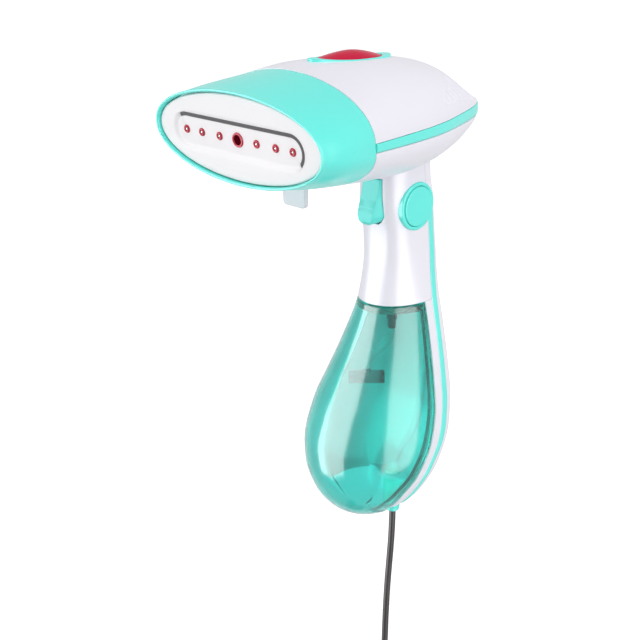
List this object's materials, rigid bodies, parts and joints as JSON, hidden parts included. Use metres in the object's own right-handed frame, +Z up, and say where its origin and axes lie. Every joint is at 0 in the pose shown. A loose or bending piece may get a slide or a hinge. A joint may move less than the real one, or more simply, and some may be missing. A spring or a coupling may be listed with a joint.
{
  "type": "handheld garment steamer",
  "caption": "Handheld garment steamer with an oval steam plate on a long head, trigger, side power button, clip-in water tank and mains lead.",
  "frame": {"origin": "middle of the grip, on the handle's plane of symmetry", "axes": "+Z up along the grip, -Y forward to the steam plate, +X to the side with the power button"},
  "size_m": [0.1291, 0.2012, 0.4683],
  "materials": {
    "teal_plastic": "glossy injection-moulded plastic",
    "white_plastic": "glossy white injection-moulded plastic",
    "plate_metal": "smooth pale ceramic-coated metal",
    "red_plastic": "red heat-resistant moulding",
    "red_lens": "glossy translucent red lens",
    "cast_aluminium": "die-cast aluminium",
    "steel": "plain bright steel",
    "silicone": "matt silicone rubber",
    "black_plastic": "black moulded plastic",
    "circuit_board": "green circuit board",
    "copper_winding": "enamelled copper winding",
    "clear_hose": "clear flexible hose",
    "wire_insulation": "insulated wire",
    "tank_plastic": "translucent teal moulding",
    "tank_ring_plastic": "teal moulded plastic",
    "dark_teal_plastic": "dark moulded plastic",
    "cord_rubber": "smooth black flexible sheath",
    "brass_pin": "nickel-plated brass"
  },
  "bodies": {
    "main": {"front_collar": "teal_plastic", "upper_head_shell": "white_plastic", "lower_head_shell": "white_plastic", "head_trim_band": "teal_plastic", "steam_plate": "plate_metal", "steam_nozzles": "red_plastic", "centre_nozzle": "red_plastic", "steam_manifold": "cast_aluminium", "steam_tube": "cast_aluminium", "boiler_block": "cast_aluminium", "boiler_cover": "cast_aluminium", "boiler_gasket": "silicone", "boiler_screws": "steel", "heating_element": "steel", "thermostat": "black_plastic", "thermal_fuse": "white_plastic", "indicator_bezel": "teal_plastic", "indicator_lens": "red_lens", "indicator_board": "circuit_board", "attachment_catch": "white_plastic", "front_handle_shell": "white_plastic", "rear_handle_shell": "white_plastic", "gland_plate": "white_plastic", "right_trim_strip": "teal_plastic", "left_trim_strip": "teal_plastic", "right_trim_ring": "teal_plastic", "power_button_spring": "steel", "power_switch": "black_plastic", "trigger_pin": "steel", "trigger_spring": "steel", "trigger_switch": "black_plastic", "pump_body": "white_plastic", "pump_coil": "copper_winding", "pump_bracket": "steel", "pump_inlet": "silicone", "handle_base": "white_plastic", "water_hose": "clear_hose", "terminal_block": "white_plastic", "inner_lead": "white_plastic", "wiring": "wire_insulation", "cord_gland": "teal_plastic", "power_cord": "cord_rubber", "cord_coil": "cord_rubber", "cord_tie": "black_plastic", "plug_body": "black_plastic", "plug_pins": "brass_pin"},
    "trigger": {"trigger": "teal_plastic"},
    "power_button": {"power_button": "teal_plastic"},
    "water_tank": {"water_tank": "tank_plastic", "tank_neck_ring": "tank_ring_plastic", "tank_seal": "silicone", "hose_connector": "dark_teal_plastic", "pickup_hose": "clear_hose", "pickup_weight": "dark_teal_plastic"}
  },
  "joints": [
    {"name": "trigger_pull", "type": "hinge", "parent": "main", "child": "trigger", "pos_m": [0, -0.0185, 0.046], "axis": [1, 0, 0], "range_deg": [0, 6], "stiffness_Nm_per_rad": 0.6, "springref_deg": -8.59, "deforming": ["trigger_spring"]},
    {"name": "power_button_press", "type": "slide", "parent": "main", "child": "power_button", "axis": [-1, 0, 0], "range_m": [0, 0.0012], "stiffness_N_per_m": 600, "springref_m": -0.002, "deforming": ["power_button_spring"]},
    {"name": "tank_removal", "type": "slide", "parent": "main", "child": "water_tank", "axis": [0, -0.9962, -0.0872], "range_m": [0, 0.09]}
  ]
}
